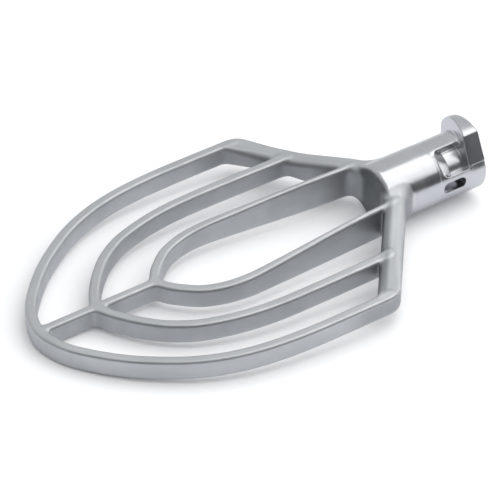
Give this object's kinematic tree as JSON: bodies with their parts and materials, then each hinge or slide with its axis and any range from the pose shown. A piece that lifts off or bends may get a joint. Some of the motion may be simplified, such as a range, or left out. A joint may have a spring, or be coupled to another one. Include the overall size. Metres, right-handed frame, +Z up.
{
  "type": "planetary mixer flat beater",
  "caption": "Cast flat beater for a floor or bench planetary mixer: arched blade with nested ribs and a round shank with a bayonet drive socket.",
  "frame": {"origin": "centre of the bounding box in plan, on the surface that the beater lies on", "axes": "+X along the shank towards its open end, +Z up from the surface, the pin window on the -Y side"},
  "size_m": [0.3278, 0.191, 0.0543],
  "materials": {
    "cast_aluminium": "tumbled satin casting",
    "turned_aluminium": "bright turned"
  },
  "bodies": {
    "root": {"rim_far": "cast_aluminium", "rim_near": "cast_aluminium", "middle_rib_far": "cast_aluminium", "middle_rib_near": "cast_aluminium", "inner_rib_far": "cast_aluminium", "inner_rib_near": "cast_aluminium", "shoulder_far": "cast_aluminium", "shoulder_near": "cast_aluminium", "outer_spine": "cast_aluminium", "inner_spine": "cast_aluminium", "shank_barrel": "turned_aluminium", "socket_body": "turned_aluminium", "end_collar": "turned_aluminium"}
  },
  "joints": []
}
